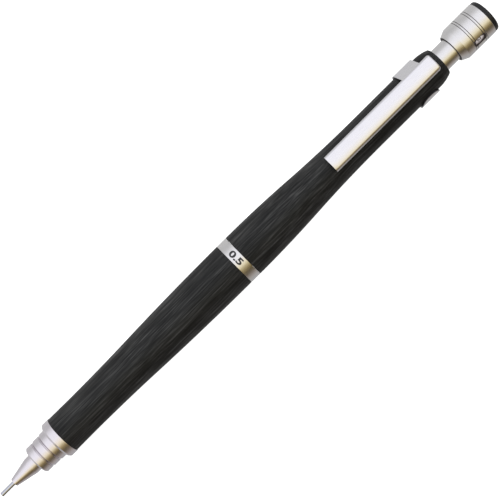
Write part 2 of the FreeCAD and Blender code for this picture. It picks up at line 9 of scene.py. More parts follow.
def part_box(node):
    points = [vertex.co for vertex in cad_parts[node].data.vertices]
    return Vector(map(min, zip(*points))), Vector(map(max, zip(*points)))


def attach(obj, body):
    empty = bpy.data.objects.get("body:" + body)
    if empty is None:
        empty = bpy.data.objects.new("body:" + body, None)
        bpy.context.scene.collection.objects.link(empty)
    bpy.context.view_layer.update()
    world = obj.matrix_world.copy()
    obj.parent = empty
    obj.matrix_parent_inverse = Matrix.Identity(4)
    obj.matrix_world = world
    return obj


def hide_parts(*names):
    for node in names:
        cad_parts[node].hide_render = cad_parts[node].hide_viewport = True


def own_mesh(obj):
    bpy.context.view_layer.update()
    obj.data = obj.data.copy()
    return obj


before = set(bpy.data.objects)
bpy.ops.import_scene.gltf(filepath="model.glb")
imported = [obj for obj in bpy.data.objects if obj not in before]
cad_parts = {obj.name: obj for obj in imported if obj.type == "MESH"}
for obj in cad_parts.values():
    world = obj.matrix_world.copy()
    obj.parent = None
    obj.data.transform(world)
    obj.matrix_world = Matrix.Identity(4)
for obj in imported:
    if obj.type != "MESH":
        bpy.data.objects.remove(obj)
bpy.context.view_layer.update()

# The pencil lies along +X with its tip at the origin, and the clip faces +Z. Lengths in the
# sections below are millimetres until a mesh or a light is made.
MM = 0.001                          # metres


# ---- Desk, light and camera --------------------------------------------------------------
# A white desk under the joint ring, which is the lowest part of the barrel. A large soft
# light hangs over it, and coloured cards round the pencil give its metal long bands:
# lilac white above, straw and brown low on the near side, grey at the horizon.

desk_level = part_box("centre_ring")[0].z
desk_half = 3.0                     # metres
desk_mesh = bpy.data.meshes.new("desk")
desk_mesh.from_pydata(
    [(x * desk_half, y * desk_half, desk_level) for x, y in ((-1, -1), (1, -1), (1, 1), (-1, 1))],
    [], [(0, 1, 2, 3)])
desk = bpy.data.objects.new("desk", desk_mesh)
bpy.context.scene.collection.objects.link(desk)
desk.visible_glossy = False         # the metal mirrors the cards round it, not the desk

desk_white = bpy.data.materials.new("desk_white")
desk_white.use_nodes = True
desk_shader = desk_white.node_tree.nodes["Principled BSDF"]
desk_shader.inputs["Base Color"].default_value = (0.40, 0.40, 0.40, 1)
desk_shader.inputs["Roughness"].default_value = 0.9
desk_shader.inputs["Specular IOR Level"].default_value = 0.1
desk_shader.inputs["Emission Color"].default_value = (1, 1, 1, 1)
desk_shader.inputs["Emission Strength"].default_value = 0.97     # a light table
desk_mesh.materials.append(desk_white)

lean = math.radians(6.2)            # the camera leans this much from overhead towards -Y
up_card = Vector((0, -math.sin(lean), math.cos(lean)))
side_card = Vector((0, math.cos(lean), math.sin(lean)))

world = bpy.data.worlds.new("studio")
bpy.context.scene.world = world
world.use_nodes = True
tree = world.node_tree
tree.nodes.clear()
direction = tree.nodes.new("ShaderNodeTexCoord").outputs["Generated"]


def along(axis):
    """How far the looked-at direction points along an axis: their dot product."""
    dot = tree.nodes.new("ShaderNodeVectorMath")
    dot.operation = "DOT_PRODUCT"
    tree.links.new(direction, dot.inputs[0])
    dot.inputs[1].default_value = axis
    return dot.outputs["Value"]


# the cards run along the pencil, so a direction meets them by its swing round +X
swing = tree.nodes.new("ShaderNodeMath")
swing.operation = "ARCTAN2"
tree.links.new(along(-side_card), swing.inputs[0])
tree.links.new(along(up_card), swing.inputs[1])
skew = tree.nodes.new("ShaderNodeMapRange")         # the cards aren't quite parallel to the
skew.inputs["From Min"].default_value = -0.15       # pencil: towards the cap they turn back
skew.inputs["From Max"].default_value = 0.22
skew.inputs["To Min"].default_value = 0.075
skew.inputs["To Max"].default_value = -0.11
tree.links.new(along(Vector((1, 0, 0))), skew.inputs["Value"])
skewed = tree.nodes.new("ShaderNodeMath")
tree.links.new(swing.outputs["Value"], skewed.inputs[0])
tree.links.new(skew.outputs["Result"], skewed.inputs[1])
card = tree.nodes.new("ShaderNodeMapRange")
card.inputs["From Min"].default_value = -math.pi
card.inputs["From Max"].default_value = math.pi
tree.links.new(skewed.outputs["Value"], card.inputs["Value"])
bands = tree.nodes.new("ShaderNodeValToRGB")
tree.links.new(card.outputs["Result"], bands.inputs["Fac"])
# angle from overhead towards -Y in degrees, and the card's brightness in red, green, blue
cards = [
    (-178, (0.62, 0.62, 0.62)),
    (-119, (0.62, 0.62, 0.62)),
    (-99, (0.585, 0.585, 0.59)),
    (-82, (0.62, 0.62, 0.63)),
    (-68, (0.74, 0.74, 0.76)),
    (-55, (0.895, 0.895, 0.93)),
    (-42, (0.99, 1.00, 1.05)),
    (-25, (1.04, 1.04, 1.10)),
    (-7, (1.07, 1.07, 1.10)),
    (5, (1.07, 1.04, 0.98)),
    (16, (1.05, 0.98, 0.80)),
    (28, (1.00, 0.90, 0.62)),
    (38, (0.66, 0.56, 0.32)),
    (46, (0.42, 0.33, 0.16)),
    (56, (0.27, 0.20, 0.09)),
    (66, (0.15, 0.115, 0.06)),
    (77, (0.13, 0.105, 0.07)),
    (89, (0.21, 0.175, 0.14)),
    (102, (0.34, 0.30, 0.27)),
    (118, (0.44, 0.42, 0.40)),
    (138, (0.45, 0.445, 0.445)),
    (178, (0.50, 0.50, 0.50)),
]
card_strength = 2.0                 # a ramp's colours stop at 1, so they hold shares of this
while len(bands.color_ramp.elements) < len(cards):
    bands.color_ramp.elements.new(0.5)
for element, (angle, colour) in zip(bands.color_ramp.elements, cards):
    element.position = (angle + 180) / 360
    element.color = (*[channel / card_strength for channel in colour], 1)
room = tree.nodes.new("ShaderNodeBackground")
room.inputs["Strength"].default_value = card_strength
tree.links.new(bands.outputs["Color"], room.inputs["Color"])
backdrop = tree.nodes.new("ShaderNodeBackground")
backdrop.inputs["Color"].default_value = (1, 1, 1, 1)
backdrop.inputs["Strength"].default_value = 1.0
ray = tree.nodes.new("ShaderNodeLightPath")
plain_room = tree.nodes.new("ShaderNodeBackground")
plain_room.inputs["Color"].default_value = (0.62, 0.62, 0.62, 1)
matt_or_metal = tree.nodes.new("ShaderNodeMixShader")       # dull surfaces see a grey room
tree.links.new(ray.outputs["Is Diffuse Ray"], matt_or_metal.inputs["Fac"])
tree.links.new(room.outputs["Background"], matt_or_metal.inputs[1])
tree.links.new(plain_room.outputs["Background"], matt_or_metal.inputs[2])
choose = tree.nodes.new("ShaderNodeMixShader")
tree.links.new(ray.outputs["Is Camera Ray"], choose.inputs["Fac"])
tree.links.new(matt_or_metal.outputs["Shader"], choose.inputs[1])
tree.links.new(backdrop.outputs["Background"], choose.inputs[2])
output = tree.nodes.new("ShaderNodeOutputWorld")
tree.links.new(choose.outputs["Shader"], output.inputs["Surface"])

soft_lamp = bpy.data.lights.new("soft_lamp", "SUN")
soft_lamp.energy = 3.0
soft_lamp.angle = math.radians(90)
soft_lamp_place = bpy.data.objects.new("soft_lamp", soft_lamp)
bpy.context.scene.collection.objects.link(soft_lamp_place)
soft_lamp_place.rotation_euler = (math.radians(-42), 0, 0)     # from overhead and +Y
soft_lamp_place.visible_glossy = False

eye_distance = 300.0                # from the pencil's axis to the lens
eye_station = 72.5                  # the lens looks straight down on this place on the axis
middle_station = 74.65              # and is shifted until this one is the picture's middle
eye_side = -0.19                    # the lens stands this much to the side of the axis
view_width = 107.04                 # what the picture takes in across the axis
slant = math.radians(44.78)         # of the pencil in the picture
film_width = 36
run = Vector((1, 0, 0))
rise = up_card.cross(run)
right = math.cos(slant) * run - math.sin(slant) * rise
top = math.sin(slant) * run + math.cos(slant) * rise
eye = eye_station * run + eye_side * side_card + eye_distance * up_card
camera = bpy.data.objects.new("camera", bpy.data.cameras.new("camera"))
camera.data.sensor_width = film_width
camera.data.lens = film_width * eye_distance / view_width
camera.data.shift_x = (middle_station - eye_station) * math.cos(slant) / view_width
camera.data.shift_y = (middle_station - eye_station) * math.sin(slant) / view_width
camera.data.clip_start = 0.01
camera.matrix_world = Matrix((
    (right.x, top.x, up_card.x, eye.x * MM),
    (right.y, top.y, up_card.y, eye.y * MM),
    (right.z, top.z, up_card.z, eye.z * MM),
    (0, 0, 0, 1)))
bpy.context.scene.collection.objects.link(camera)
bpy.context.scene.camera = camera
bpy.context.scene.view_settings.view_transform = "Standard"


# ---- Lead sleeve -------------------------------------------------------------------------
# A drawn steel tube, polished, with its mouth rounded so that it doesn't scratch the paper.
# It is pressed into the cone and carries the lead.

nearly_straight = math.radians(170)
longest_foot = 0.42                 # a corner takes at most this share of the shorter side


def rounded(outline, corner, steps=5, hold=0.03):
    """Round the corners of a closed outline.

    Each corner that turns more than a few degrees becomes an arc tangent to both sides, with
    one more point on each side just beyond it, so that flat sides shade flat. An arc's
    points are its centre plus its radius swung evenly from one side's foot to the other's.
    """
    points = np.asarray(outline, float)
    path = []
    for before, here, after in zip(np.roll(points, 1, 0), points, np.roll(points, -1, 0)):
        to_before, to_after = before - here, after - here
        lengths = np.hypot(*to_before), np.hypot(*to_after)
        to_before, to_after = to_before / lengths[0], to_after / lengths[1]
        opening = math.acos(np.clip(to_before @ to_after, -1, 1))
        if opening > nearly_straight:
            path.append(here)
            continue
        foot = min(corner / math.tan(opening / 2), longest_foot * min(lengths))
        radius = foot * math.tan(opening / 2)
        inward = (to_before + to_after) / np.linalg.norm(to_before + to_after)
        centre = here + inward * radius / math.sin(opening / 2)
        first = np.arctan2(*(here + to_before * foot - centre)[::-1])
        last = np.arctan2(*(here + to_after * foot - centre)[::-1])
        swing = (last - first + math.pi) % (2 * math.pi) - math.pi
        angles = first + swing * np.linspace(0, 1, steps)
        spare = min(hold, 0.05 * min(lengths))
        path.append(here + to_before * (foot + spare))
        path.extend(centre + radius * np.stack([np.cos(angles), np.sin(angles)], 1))
        path.append(here + to_after * (foot + spare))
    return np.array(path)


def add_piece(name, vertices, faces, body, slot, material, *stands_for):
    """Make a smooth mesh with closed poles and outward faces, and hand it to its body."""
    mesh = bpy.data.meshes.new(name)
    mesh.from_pydata((np.asarray(vertices) * MM).tolist(), [], np.asarray(faces).tolist())
    shape = bmesh.new()
    shape.from_mesh(mesh)
    bmesh.ops.remove_doubles(shape, verts=shape.verts, dist=1e-8)
    bmesh.ops.recalc_face_normals(shape, faces=shape.faces)
    shape.to_mesh(mesh)
    shape.free()
    mesh.shade_smooth()
    piece = bpy.data.objects.new(name, mesh)
    bpy.context.scene.collection.objects.link(piece)
    mesh.materials.append(material)
    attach(piece, body)
    if stands_for:
        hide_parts(*stands_for)
    return piece


def turned_grid(path, around):
    """Vertices and faces of an outline carried round the axis.

    Point (x, r) at turn t goes to (x, -r sin t, r cos t); each side of the outline and each
    step of the turn bound one face, and a side that lies on the axis bounds none.
    """
    turns = np.linspace(0, 2 * math.pi, around, endpoint=False)
    stations, radii = path[:, :1], path[:, 1:]
    vertices = np.stack([
        stations + 0 * turns, -radii * np.sin(turns), radii * np.cos(turns)], 2)
    row = np.arange(len(path))[:, None]
    next_row = (row + 1) % len(path)
    step = np.arange(around)[None, :]
    next_step = (step + 1) % around
    faces = np.stack([row * around + step, row * around + next_step,
                      next_row * around + next_step, next_row * around + step], 2)
    solid = (path[:, 1] > 0) | (np.roll(path[:, 1], -1) > 0)
    return vertices.reshape(-1, 3), faces[solid].reshape(-1, 4)


def turned(name, outline, corner, body, slot, material, *stands_for, around=160):
    """A turned piece: a rounded outline of (station, radius) carried round the axis."""
    vertices, faces = turned_grid(rounded(outline, corner), around)
    return add_piece(name, vertices, faces, body, slot, material, *stands_for)


def ends(node):
    """First and last station of a part along the axis, in millimetres."""
    low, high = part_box(node)
    return low.x / MM, high.x / MM


def new_material(name, colour, roughness, metallic=0.0):
    """A plain finish; patterns are fed to its sockets afterwards."""
    material = bpy.data.materials.new(name)
    material.use_nodes = True
    shader = material.node_tree.nodes["Principled BSDF"]
    shader.inputs["Base Color"].default_value = (*colour, 1)
    shader.inputs["Roughness"].default_value = roughness
    shader.inputs["Metallic"].default_value = metallic
    return material


def streaks(material, scale, detail=3.0):
    """Noise on the piece's own place, stretched by three scales per metre."""
    nodes, links = material.node_tree.nodes, material.node_tree.links
    place = nodes.new("ShaderNodeTexCoord")
    stretch = nodes.new("ShaderNodeMapping")
    stretch.inputs["Scale"].default_value = scale
    links.new(place.outputs["Object"], stretch.inputs["Vector"])
    noise = nodes.new("ShaderNodeTexNoise")
    noise.inputs["Scale"].default_value = 1.0
    noise.inputs["Detail"].default_value = detail
    links.new(stretch.outputs["Vector"], noise.inputs["Vector"])
    return noise.outputs["Fac"]


def spread(material, fac, low, high):
    """Turn a pattern, most of which lies between 0.3 and 0.7, into a value from low to high."""
    ranged = material.node_tree.nodes.new("ShaderNodeMapRange")
    ranged.inputs["From Min"].default_value = 0.3
    ranged.inputs["From Max"].default_value = 0.7
    ranged.inputs["To Min"].default_value = low
    ranged.inputs["To Max"].default_value = high
    material.node_tree.links.new(fac, ranged.inputs["Value"])
    return ranged.outputs["Result"]


def tint(material, fac, *stops):
    """Colour ramp over a pattern; each stop is (position, colour)."""
    ramp = material.node_tree.nodes.new("ShaderNodeValToRGB")
    while len(ramp.color_ramp.elements) < len(stops):
        ramp.color_ramp.elements.new(0.5)
    for element, (position, colour) in zip(ramp.color_ramp.elements, stops):
        element.position = position
        element.color = (*colour, 1)
    material.node_tree.links.new(fac, ramp.inputs["Fac"])
    return ramp.outputs["Color"]


def feed(material, socket, output):
    """Drive one socket of the finish by a pattern."""
    shader = material.node_tree.nodes["Principled BSDF"]
    material.node_tree.links.new(output, shader.inputs[socket])


def relief(material, height, depth):
    """Bump of a given depth in metres."""
    nodes, links = material.node_tree.nodes, material.node_tree.links
    bump = nodes.new("ShaderNodeBump")
    bump.inputs["Distance"].default_value = depth
    bump.inputs["Strength"].default_value = 1.0
    links.new(height, bump.inputs["Height"])
    feed(material, "Normal", bump.outputs["Normal"])


def satin_metal(name, colour, roughness, ring_depth):
    """Turned metal: faint rings round the axis and soft cloudy wear in the gloss."""
    material = new_material(name, colour, roughness, 1.0)
    rings = streaks(material, (14000, 300, 300), 2.0)
    relief(material, rings, ring_depth)
    wear = streaks(material, (500, 700, 700), 4.0)
    feed(material, "Roughness", spread(material, wear, roughness - 0.03, roughness + 0.04))
    shade = tuple(0.96 * channel for channel in colour)
    feed(material, "Base Color", tint(material, wear, (0.3, shade), (0.65, colour)))
    return material


steel_bright = satin_metal("steel_bright", (0.58, 0.60, 0.67), 0.08, 4e-7)

sleeve_radius = 0.50
sleeve_bore = 0.30
mouth_corner = 0.05
sleeve_front, sleeve_back = ends("lead_sleeve")
turned("lead_sleeve_tube", [
    (sleeve_front, sleeve_bore), (sleeve_front, sleeve_radius),
    (sleeve_back, sleeve_radius), (sleeve_back, sleeve_bore),
], mouth_corner, "barrel", "steel_bright", steel_bright, "lead_sleeve", around=64)


# ---- Nose --------------------------------------------------------------------------------
# One turned metal piece: cone, plain neck, and three ribs that grow towards the hand, each
# with a bevelled front edge. Its hollow spigot screws into the grip.

metal_nose = satin_metal("metal_nose", (0.80, 0.765, 0.80), 0.22, 1.0e-6)

nose_front, nose_back = ends("nose_cone")
grip_front = ends("front_grip")[0]
collar_front, grip_liner_back = ends("grip_liner")
cone_length = 5.03
cone_radii = (0.98, 2.02)
cone_bore = 0.52
ribs = 3
rib_front = nose_front + 6.63
rib_width = 1.80
rib_pitch = 2.02
rib_radius = 3.38
rib_growth = 0.11
rib_groove = 0.38
rib_bevel = 0.30
nose_spigot_radius = 3.05
nose_spigot_bore = 2.30
chamber = (nose_front + 7.43, 2.00)         # its sloping front end meets the retainer's seat
retainer_seat = (nose_front + 3.25, 1.22)
nose_outline = [
    (nose_front, cone_bore),
    (nose_front, cone_radii[0]),
    (nose_front + cone_length, cone_radii[1]),
    (rib_front, cone_radii[1]),
]
for rib in range(ribs):
    start = rib_front + rib_pitch * rib
    radius = rib_radius + rib_growth * rib
    nose_outline += [
        (start, radius - rib_bevel),
        (start + rib_bevel, radius),
        (start + rib_width, radius),
    ]
    if rib < ribs - 1:
        nose_outline += [
            (start + rib_width, radius - rib_groove),
            (start + rib_pitch, radius - rib_groove),
        ]
nose_outline += [
    (collar_front, nose_spigot_radius), (nose_back, nose_spigot_radius),
    (nose_back, nose_spigot_bore), chamber, retainer_seat, (retainer_seat[0], cone_bore),
]
nose_corner = 0.05
turned("nose_cone_turned", nose_outline, nose_corner, "barrel", "metal_satin", metal_nose,
       "nose_cone")


# ---- Grip liner and its collar -----------------------------------------------------------
# A metal tube with a wide collar in front. The wood is glued on the tube and stops at the
# collar, which is turned in one piece with it, in the nose's metal.

collar_radius = 4.60
collar_bevel = 0.42
collar_corner = 0.08
collar_back = grip_front - 0.01
grip_tube_radius = 3.55
grip_tube_bore = 3.10
turned("grip_liner_turned", [
    (collar_front, grip_tube_bore),
    (collar_front, collar_radius - collar_bevel),
    (collar_front + collar_bevel, collar_radius),
    (collar_back, collar_radius),
    (collar_back, grip_tube_radius),
    (grip_liner_back, grip_tube_radius),
    (grip_liner_back, grip_tube_bore),
], collar_corner, "barrel", "metal_satin", metal_nose, "grip_liner")


# ---- Wooden halves -----------------------------------------------------------------------
# Open-pored hardwood, stained charcoal black and waxed. The pores run along the barrel as
# fine broken lines. Both halves are turned: each side is two arcs that meet on a tangent.

def reverse_curve(start, end, turn, count=36):
    """Radii between two places where the side runs along the axis.

    The side leaves each place on a circle and the two circles meet at the turn, which lies
    on the straight line between the places. A circle of radius R falls by
    R - sqrt(R^2 - d^2) at distance d.
    """
    (x0, r0), (x1, r1) = start, end
    r_turn = r0 + (r1 - r0) * (turn - x0) / (x1 - x0)
    stations = np.linspace(x0, x1, count)
    radii = np.empty(count)
    for near, edge_x, edge_r in ((stations <= turn, x0, r0), (stations > turn, x1, r1)):
        reach, drop = abs(turn - edge_x), abs(r_turn - edge_r)
        circle = (reach**2 + drop**2) / (2 * drop)
        fall = circle - np.sqrt(circle**2 - (stations[near] - edge_x)**2)
        radii[near] = edge_r + math.copysign(1, r_turn - edge_r) * fall
    return list(zip(stations, radii))


wood_dark = new_material("wood_dark", (0.03, 0.03, 0.03), 0.5)
wax = wood_dark.node_tree.nodes["Principled BSDF"]
wax.inputs["Specular IOR Level"].default_value = 0.22
wax.inputs["Specular Tint"].default_value = (0.90, 0.95, 0.98, 1)
pores = streaks(wood_dark, (140, 4400, 4400), 2.0)
figure = streaks(wood_dark, (35, 1100, 1100), 3.0)
mixed = wood_dark.node_tree.nodes.new("ShaderNodeMix")
mixed.data_type = "FLOAT"
mixed.inputs["Factor"].default_value = 0.30
wood_dark.node_tree.links.new(pores, mixed.inputs["A"])
wood_dark.node_tree.links.new(figure, mixed.inputs["B"])
grain = mixed.outputs["Result"]
feed(wood_dark, "Base Color", tint(
    wood_dark, grain,
    (0.38, (0.0035, 0.0034, 0.0035)), (0.50, (0.010, 0.0098, 0.0097)),
    (0.60, (0.022, 0.0216, 0.0214)), (0.70, (0.045, 0.0445, 0.044))))
feed(wood_dark, "Roughness", spread(wood_dark, grain, 0.60, 0.42))
relief(wood_dark, grain, 6e-5)

belly_radius = 5.32
wood_bevel = 0.10
wood_corner = 0.03
grip_back = ends("front_grip")[1]
grip_bore = 3.60
grip_end_radius = 4.49
above_waist = (grip_front + 2.4, 4.462)
waist = (grip_front + 6.4, 4.44)
grip_turn = grip_front + 23.9
grip_side = reverse_curve(waist, (grip_back - wood_bevel, belly_radius), grip_turn)
turned("front_grip_wood", [
    (grip_front, grip_bore),
    (grip_front, grip_end_radius - wood_bevel),
    (grip_front + wood_bevel, grip_end_radius),
    above_waist,
    *grip_side,
    (grip_back, belly_radius - wood_bevel),
    (grip_back, grip_bore),
], wood_corner, "barrel", "wood_dark", wood_dark, "front_grip", around=192)

rear_front, rear_back = ends("rear_barrel")
rear_bore = 3.35
rear_turn = rear_front + 17.7
tail_radius = 4.13
tail_front = rear_back - 21.5
shoulder_length = 3.4
shoulder_drop = 0.70
mouth_radius = tail_radius - 0.74
shoulder = rear_back - shoulder_length
shoulder_circle = (shoulder_length**2 + shoulder_drop**2) / (2 * shoulder_drop)
shoulder_end = rear_back - 0.05
shoulder_stations = np.linspace(shoulder, shoulder_end, 14)
shoulder_radii = (tail_radius - shoulder_circle
                  + np.sqrt(shoulder_circle**2 - (shoulder_stations - shoulder)**2))
rear_side = reverse_curve(
    (rear_front + wood_bevel, belly_radius), (tail_front, tail_radius), rear_turn)
turned("rear_barrel_wood", [
    (rear_front, rear_bore),
    (rear_front, belly_radius - wood_bevel),
    *rear_side,
    *zip(shoulder_stations, shoulder_radii),
    (rear_back, mouth_radius),
    (rear_back, rear_bore),
], wood_corner, "barrel", "wood_dark", wood_dark, "rear_barrel", around=192)


# ---- Joint ring --------------------------------------------------------------------------
# A metal ring between the halves, flush with the wood, with a spigot each way. The lead
# size is printed on it in black.

metal_satin = satin_metal("metal_satin", (0.80, 0.79, 0.79), 0.22, 1.0e-6)

ring_play = 0.02
ring_front, ring_back = grip_back + ring_play, rear_front - ring_play
ring_corner = 0.06
ring_bore = 2.30
front_spigot_radius = 3.05
rear_spigot_radius = 2.90
spigot_front, spigot_back = ends("centre_ring")
turned("centre_ring_turned", [
    (spigot_front, ring_bore), (spigot_front, front_spigot_radius),
    (ring_front, front_spigot_radius), (ring_front, belly_radius),
    (ring_back, belly_radius), (ring_back, rear_spigot_radius),
    (spigot_back, rear_spigot_radius), (spigot_back, ring_bore),
], ring_corner, "barrel", "metal_satin", metal_satin, "centre_ring", around=192)

ink_black = new_material("ink_black", (0.012, 0.012, 0.014), 0.35)
blot = streaks(ink_black, (3000, 3000, 3000), 2.0)
feed(ink_black, "Roughness", spread(ink_black, blot, 0.28, 0.45))

ink_thickness = 0.03
slices = 40                         # a word is cut across this often, so that it can bend


def printed(name, words, height, station, angle, radius, body, material,
            wide=1.0, weight=0.02):
    """Letters laid on a cylinder round the axis, with their tops towards the cap.

    A point at (across, up) on the flat letter goes to the station plus up, turned by
    across / radius from the given angle, which runs from +Z towards -Y.
    """
    curve = bpy.data.curves.new(name, "FONT")
    curve.body = words
    curve.align_x = "CENTER"
    curve.align_y = "CENTER"
    curve.resolution_u = 6
    curve.offset = weight
    flat = bpy.data.objects.new(name + "_flat", curve)
    bpy.context.scene.collection.objects.link(flat)
    bpy.context.view_layer.update()
    mesh = bpy.data.meshes.new_from_object(flat.evaluated_get(
        bpy.context.evaluated_depsgraph_get()))
    bpy.data.objects.remove(flat)
    shape = bmesh.new()
    shape.from_mesh(mesh)
    bmesh.ops.remove_doubles(shape, verts=shape.verts, dist=1e-5)
    corners = np.array([vertex.co for vertex in shape.verts])
    low, high = corners.min(0), corners.max(0)
    for cut_at in np.linspace(low[0], high[0], slices)[1:-1]:
        bmesh.ops.bisect_plane(
            shape, geom=[*shape.verts, *shape.edges, *shape.faces],
            plane_co=(cut_at, 0, 0), plane_no=(1, 0, 0))
    size = height / (high[1] - low[1])
    middle = (low + high) / 2
    for vertex in shape.verts:
        across = (vertex.co.x - middle[0]) * size * wide
        up = (vertex.co.y - middle[1]) * size
        turn = angle + across / radius
        vertex.co = Vector((station + up, -radius * math.sin(turn), radius * math.cos(turn))) * MM
    shape.to_mesh(mesh)
    shape.free()
    mesh.name = name
    mesh.materials.append(material)
    mesh.shade_smooth()
    piece = bpy.data.objects.new(name, mesh)
    bpy.context.scene.collection.objects.link(piece)
    film = piece.modifiers.new("film", "SOLIDIFY")
    film.thickness = ink_thickness * MM
    film.offset = 0
    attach(piece, body)
    return piece


ink_rise = 0.005                    # the film's middle lies this far outside the surface
printed("lead_size_print", "0.5", 1.55, (ring_front + ring_back) / 2, math.radians(-2),
        belly_radius + ink_rise, "barrel", ink_black, wide=1.5, weight=0.035)


# ---- Clip --------------------------------------------------------------------------------
# One strip of plated steel sheet. The leaf is pressed into a shallow tray, open in front.
# From its +Y side a wing drops to the barrel, goes round the back of it as a band and ends
# in a rounded tongue. The sheet flexes at the wing.

clip_steel = new_material("clip_steel", (0.80, 0.79, 0.80), 0.22, 1.0)
brushed = streaks(clip_steel, (500, 9000, 9000), 3.0)
feed(clip_steel, "Roughness", spread(clip_steel, brushed, 0.20, 0.32))
relief(clip_steel, brushed, 1.0e-6)
feed(clip_steel, "Base Color", tint(
    clip_steel, brushed, (0.3, (0.80, 0.79, 0.82)), (0.7, (0.87, 0.86, 0.89))))

clip_sheet = 0.43
leaf_front = ends("clip_leaf")[0] + 0.02
leaf_back = ends("clip_leaf")[1] - 0.03
leaf_half = 2.06
leaf_bend = 0.60
leaf_top = 6.31
leaf_crown = (4.4, 30.0)            # radii of the faint crown towards -Y and +Y
leaf_depth = 1.35
leaf_tilt = math.radians(1.0)
inner_back = leaf_back - leaf_bend  # the flat top ends here, and the bend starts
inner_half = leaf_half - leaf_bend
band_front, band_back = ends("clip_band")
band_middle = (band_front + band_back) / 2
pivot_height = 5.56


def pressed_tray(along_leaf, across_leaf):
    """Where a point of the flat blank goes when the leaf is pressed.

    The flat top is a rectangle set in by the bend. A point beyond it has moved off by
    max(beyond along, beyond across), which is first used up by a quarter circle of the
    bend's radius and then goes straight down.
    """
    near_x = np.minimum(along_leaf, inner_back)
    near_y = np.clip(across_leaf, -inner_half, inner_half)
    off_x, off_y = along_leaf - near_x, across_leaf - near_y
    off = np.maximum(np.abs(off_x), np.abs(off_y))
    length = np.hypot(off_x, off_y)
    length[length == 0] = 1
    angle = np.minimum(off / leaf_bend, math.pi / 2)
    out = leaf_bend * np.sin(angle)
    down = leaf_bend * (1 - np.cos(angle)) + np.maximum(off - leaf_bend * math.pi / 2, 0)
    y = near_y + off_y / length * out
    crown = np.where(y < 0, *leaf_crown)
    return near_x + off_x / length * out, y, leaf_top - down - y**2 / (2 * crown)


def lean_leaf(x, y, z):
    """Turn the leaf about the flex line so that its free end leans to the barrel."""
    dx, dz = x - band_middle, z - pivot_height
    return np.stack([
        band_middle + dx * math.cos(leaf_tilt) - dz * math.sin(leaf_tilt), y,
        pivot_height + dx * math.sin(leaf_tilt) + dz * math.cos(leaf_tilt)], -1)


bend_length = leaf_bend * math.pi / 2
band_play = 0.05
band_outer = tail_radius + band_play + clip_sheet
bend_centre = (inner_half, leaf_top - leaf_bend - leaf_half**2 / 2 / leaf_crown[1])
wing_angle = (math.atan2(*bend_centre)
              + math.acos((band_outer - leaf_bend) / math.hypot(*bend_centre)))
flange = leaf_depth - leaf_bend
bend_share = np.linspace(0, 1, 8)
across_marks = np.concatenate([
    [-inner_half - bend_length - flange],
    -inner_half - bend_length * bend_share[::-1],
    np.linspace(-1, 1, 9)[1:-1] * inner_half,
    inner_half + bend_length * bend_share,
    [inner_half + bend_length + flange],
])
wing_play = 0.06
back_flange = 0.55 * flange         # the rear wall is shallower than the sides
along_marks = np.concatenate([
    np.linspace(leaf_front, band_front - wing_play, 25),
    [band_back + wing_play],
    np.linspace(band_back + wing_play, inner_back, 5)[1:],
    inner_back + bend_length * bend_share[1:],
    [inner_back + bend_length + back_flange],
])


def sheet_faces(rows, columns):
    """Faces of a grid of points: (i, j), (i+1, j), (i+1, j+1), (i, j+1) bound each one."""
    index = np.arange(rows * columns).reshape(rows, columns)
    return np.stack([index[:-1, :-1], index[1:, :-1], index[1:, 1:], index[:-1, 1:]], 2)


blank_x, blank_y = np.meshgrid(along_marks, across_marks, indexing="ij")
leaf_faces = sheet_faces(*blank_x.shape)
keep = np.ones(leaf_faces.shape[:2], bool)
wing_row = np.searchsorted(along_marks, band_front) - 1
wing_start = inner_half + bend_length * wing_angle / (math.pi / 2)
mid_across = (across_marks[:-1] + across_marks[1:]) / 2
keep[wing_row, mid_across > wing_start] = False     # the wing takes the side wall's place
leaf_vertices = lean_leaf(*pressed_tray(blank_x, blank_y)).reshape(-1, 3)
clip_leaf_piece = add_piece(
    "clip_leaf_sheet", leaf_vertices, leaf_faces[keep], "clip", "clip_steel", clip_steel,
    "clip_leaf")

# near-black metal for the band's cut edges: painted shade for the dark line round the tongue and
# the band
painted_shade_edge = satin_metal("painted_shade_edge", (0.10, 0.10, 0.11), 0.35, 1.0e-6)


def finish_sheet(piece, edge, rim=None):
    """Give a sheet its thickness inwards and break its edges; its rim may get a near-black metal,
    painted shade for the dark line round the sheet's edge.
    """
    wall = piece.modifiers.new("wall", "SOLIDIFY")
    if rim:
        piece.data.materials.append(rim)
        wall.material_offset_rim = 1
    wall.thickness = clip_sheet * MM
    wall.offset = -1
    broken = piece.modifiers.new("broken_edge", "BEVEL")
    broken.width = edge * MM
    broken.segments = 2
    broken.limit_method = "ANGLE"
    broken.angle_limit = math.radians(50)


leaf_edge = 0.07
finish_sheet(clip_leaf_piece, leaf_edge)

wing_top = (bend_centre[0] + leaf_bend * math.sin(wing_angle),
            bend_centre[1] + leaf_bend * math.cos(wing_angle))
wing_foot = (band_outer * math.sin(wing_angle), band_outer * math.cos(wing_angle))
tongue_angle = math.radians(293)    # from +Z towards +Y, over the back
tongue_corner = 2.0
wing_tuck = 0.30                    # the strip starts this far inside the leaf's bend
band_edge = 0.05
wing_run = np.linspace(0, 1, 10)[:, None]
wing_path = (1 - wing_run) * wing_top + wing_run * wing_foot
band_angles = np.linspace(wing_angle, tongue_angle, 90)[1:]
band_path = band_outer * np.stack([np.sin(band_angles), np.cos(band_angles)], 1)
tucked = wing_path[0] - wing_tuck * np.array([math.sin(wing_angle), math.cos(wing_angle)])
strip_path = np.concatenate([[tucked], wing_path, band_path])
strip_length = np.concatenate([[0], np.cumsum(np.hypot(*np.diff(strip_path, axis=0).T))])
from_end = strip_length[-1] - strip_length
half_band = (band_back - band_front) / 2
rounding = np.clip(tongue_corner - from_end, 0, tongue_corner)
half_widths = half_band - tongue_corner + np.sqrt(tongue_corner**2 - rounding**2)
strip_across = np.linspace(-1, 1, 11)[None, :]
strip_vertices = np.stack([
    band_middle + half_widths[:, None] * strip_across,
    strip_path[:, :1] + 0 * strip_across, strip_path[:, 1:] + 0 * strip_across], 2)
